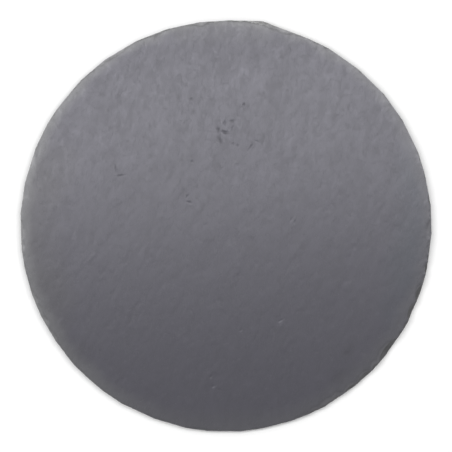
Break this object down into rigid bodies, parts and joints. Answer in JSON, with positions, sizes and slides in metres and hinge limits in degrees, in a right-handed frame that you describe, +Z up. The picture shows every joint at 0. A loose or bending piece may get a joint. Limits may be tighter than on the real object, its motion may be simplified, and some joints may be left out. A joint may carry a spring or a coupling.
{
  "type": "round slate plate",
  "caption": "Thin round slab of riven natural slate with a chipped rim, standing flat on stick-on anti-slip foot pads.",
  "frame": {"origin": "on the table the feet stand on, under the middle of the plate", "axes": "+Z up out of the riven face; +Y towards the side of the rim with the proud corner, which lies 10 degrees round from +Y towards +X; +X to the right seen from above"},
  "size_m": [0.2997, 0.2996, 0.0077],
  "materials": {
    "slate": "natural riven slate, dark grey with a faint blue tint, satin, lighter where freshly chipped",
    "foot_rubber": "matt black anti-slip rubber",
    "adhesive": "milky acrylic adhesive film"
  },
  "bodies": {
    "root": {"slate_plate": "slate", "foot_pad_1": "foot_rubber", "foot_pad_2": "foot_rubber", "foot_pad_3": "foot_rubber", "foot_pad_4": "foot_rubber", "foot_adhesive_1": "adhesive", "foot_adhesive_2": "adhesive", "foot_adhesive_3": "adhesive", "foot_adhesive_4": "adhesive"}
  },
  "joints": []
}
